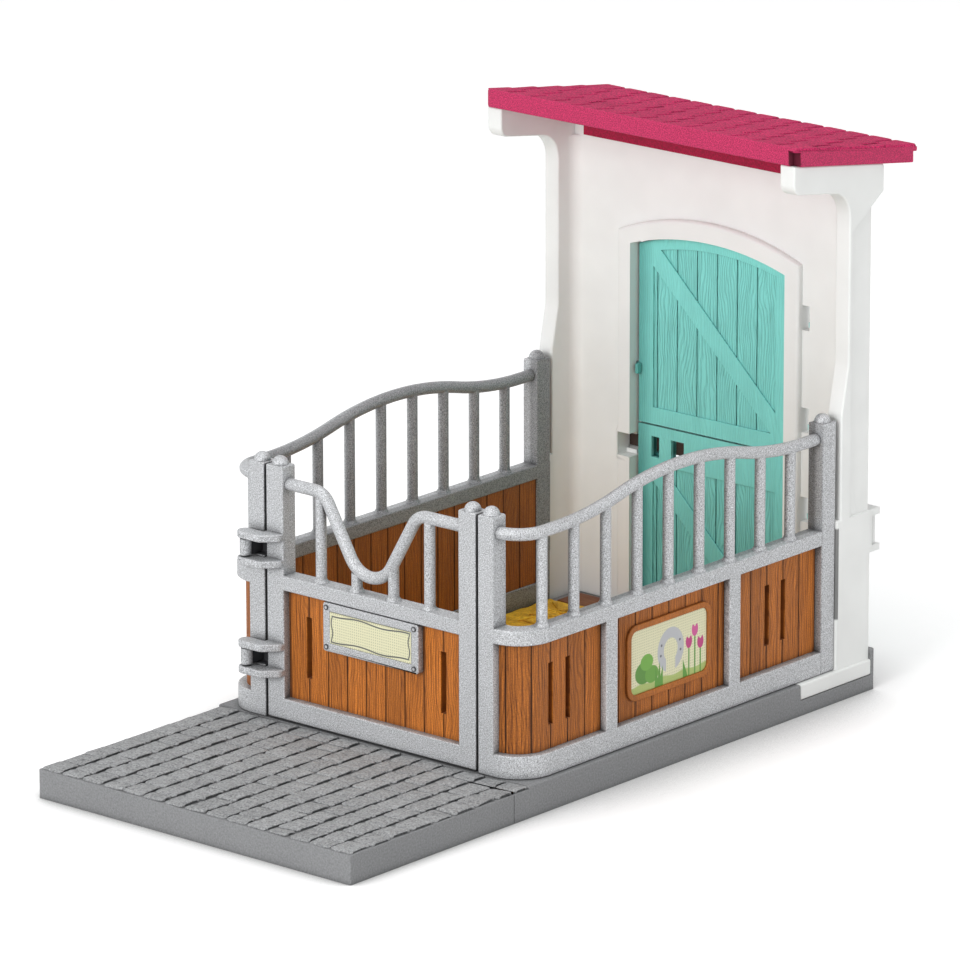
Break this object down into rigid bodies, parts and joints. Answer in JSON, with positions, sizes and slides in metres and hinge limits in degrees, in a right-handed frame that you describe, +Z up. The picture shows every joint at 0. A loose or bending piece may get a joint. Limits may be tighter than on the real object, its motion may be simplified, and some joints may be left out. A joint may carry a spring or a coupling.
{
  "type": "toy horse stall",
  "caption": "Toy horse stall: fenced box with a hinged neck-dip gate, a tiled shelter wall with a bolted half door, and a paved apron, all in moulded plastic.",
  "frame": {"origin": "on the floor under the middle of the whole object's box", "axes": "+X to the right seen from the gate, +Y from the apron towards the wall, +Z up"},
  "size_m": [0.14, 0.2986, 0.2039],
  "materials": {
    "base_grey": "matt grey, cobble relief on the apron",
    "screw_steel": "plain bright zinc",
    "frame_silver": "silver grey with fine hammered grain",
    "plank_brown": "satin brown with moulded wood grain",
    "label_paper": "printed paper",
    "wall_white": "smooth matt white",
    "roof_raspberry": "matt with tile relief",
    "door_turquoise": "satin with moulded plank grain",
    "bolt_brown": "satin dark brown",
    "straw_yellow": "matt moulded straw"
  },
  "bodies": {
    "stall": {"front_apron": "base_grey", "apron_under_plate": "base_grey", "stall_base": "base_grey", "stall_under_plate": "base_grey", "base_screws": "screw_steel", "wall_screws": "screw_steel", "left_fence_frame": "frame_silver", "left_wood_panel": "plank_brown", "left_picture_label": "label_paper", "right_fence_frame": "frame_silver", "right_wood_panel": "plank_brown", "right_picture_label": "label_paper", "stall_wall": "wall_white", "roof": "roof_raspberry", "straw_bedding": "straw_yellow", "door_sill": "plank_brown"},
    "gate": {"gate_frame": "frame_silver", "gate_panel": "plank_brown", "name_plate": "frame_silver", "name_label": "label_paper", "plate_rivets": "frame_silver"},
    "upper_leaf": {"upper_door_leaf": "door_turquoise"},
    "lower_leaf": {"lower_door_leaf": "door_turquoise"},
    "bolt": {"door_bolt": "bolt_brown"}
  },
  "joints": [
    {"name": "gate_swing", "type": "hinge", "parent": "stall", "child": "gate", "pos_m": [-0.053, -0.06365, 0], "axis": [0, 0, -1], "range_deg": [0, 110]},
    {"name": "upper_leaf_swing", "type": "hinge", "parent": "stall", "child": "upper_leaf", "pos_m": [0.037, 0.12925, 0], "axis": [0, 0, -1], "range_deg": [0, 110]},
    {"name": "lower_leaf_swing", "type": "hinge", "parent": "stall", "child": "lower_leaf", "pos_m": [0.037, 0.12925, 0], "axis": [0, 0, -1], "range_deg": [0, 110]},
    {"name": "bolt_slide", "type": "slide", "parent": "lower_leaf", "child": "bolt", "axis": [1, 0, 0], "range_m": [0, 0.0065]}
  ]
}
